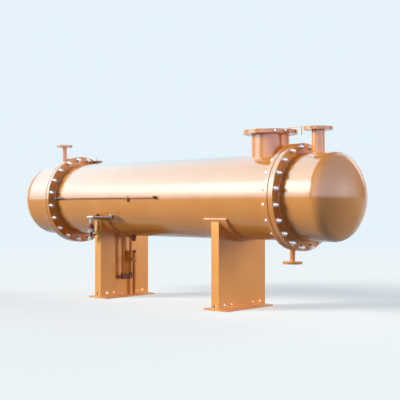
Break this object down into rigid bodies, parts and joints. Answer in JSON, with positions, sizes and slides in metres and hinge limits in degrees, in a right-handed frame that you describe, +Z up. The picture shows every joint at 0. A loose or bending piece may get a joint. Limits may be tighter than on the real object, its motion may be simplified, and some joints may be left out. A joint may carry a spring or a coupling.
{
  "type": "shell and tube heat exchanger",
  "caption": "Horizontal shell and tube heat exchanger with bolted dished bonnets, flanged nozzles and side drain piping, standing on plate saddles.",
  "frame": {"origin": "on the ground under the fixed saddle, at the centre of its anchor holes", "axes": "+X along the shell axis towards the front bonnet, +Z up"},
  "size_m": [3.401, 0.755, 1.315],
  "materials": {
    "paint": "gloss",
    "piping_paint": "satin",
    "valve_brass": "satin",
    "gasket": "matte",
    "tube_steel": "satin"
  },
  "bodies": {
    "root": {"shell": "paint", "front_tubesheet": "paint", "rear_tubesheet": "paint", "front_bonnet_flange": "paint", "rear_bonnet_flange": "paint", "front_bonnet_barrel": "paint", "rear_bonnet_barrel": "paint", "front_bonnet_head": "paint", "rear_bonnet_head": "paint", "shell_nozzle_neck": "paint", "shell_nozzle_flange": "paint", "bonnet_nozzle_neck": "paint", "bonnet_nozzle_flange": "paint", "vent_nozzle_neck": "paint", "vent_nozzle_flange": "paint", "drain_nozzle_neck": "paint", "drain_nozzle_flange": "paint", "front_saddle_wear_plate": "paint", "front_saddle_web": "paint", "front_saddle_end_plates": "paint", "front_saddle_rib": "paint", "front_saddle_base_plate": "paint", "rear_saddle_wear_plate": "paint", "rear_saddle_web": "paint", "rear_saddle_end_plates": "paint", "rear_saddle_rib": "paint", "rear_saddle_base_plate": "paint", "side_line": "piping_paint", "sample_branch": "piping_paint", "drain_loop": "piping_paint", "standpipe": "piping_paint", "shell_drain_plug": "piping_paint", "sample_valve": "valve_brass", "tubesheet_vent_valve": "valve_brass", "front_gasket": "gasket", "rear_gasket": "gasket", "tube_bundle": "tube_steel"}
  },
  "joints": []
}
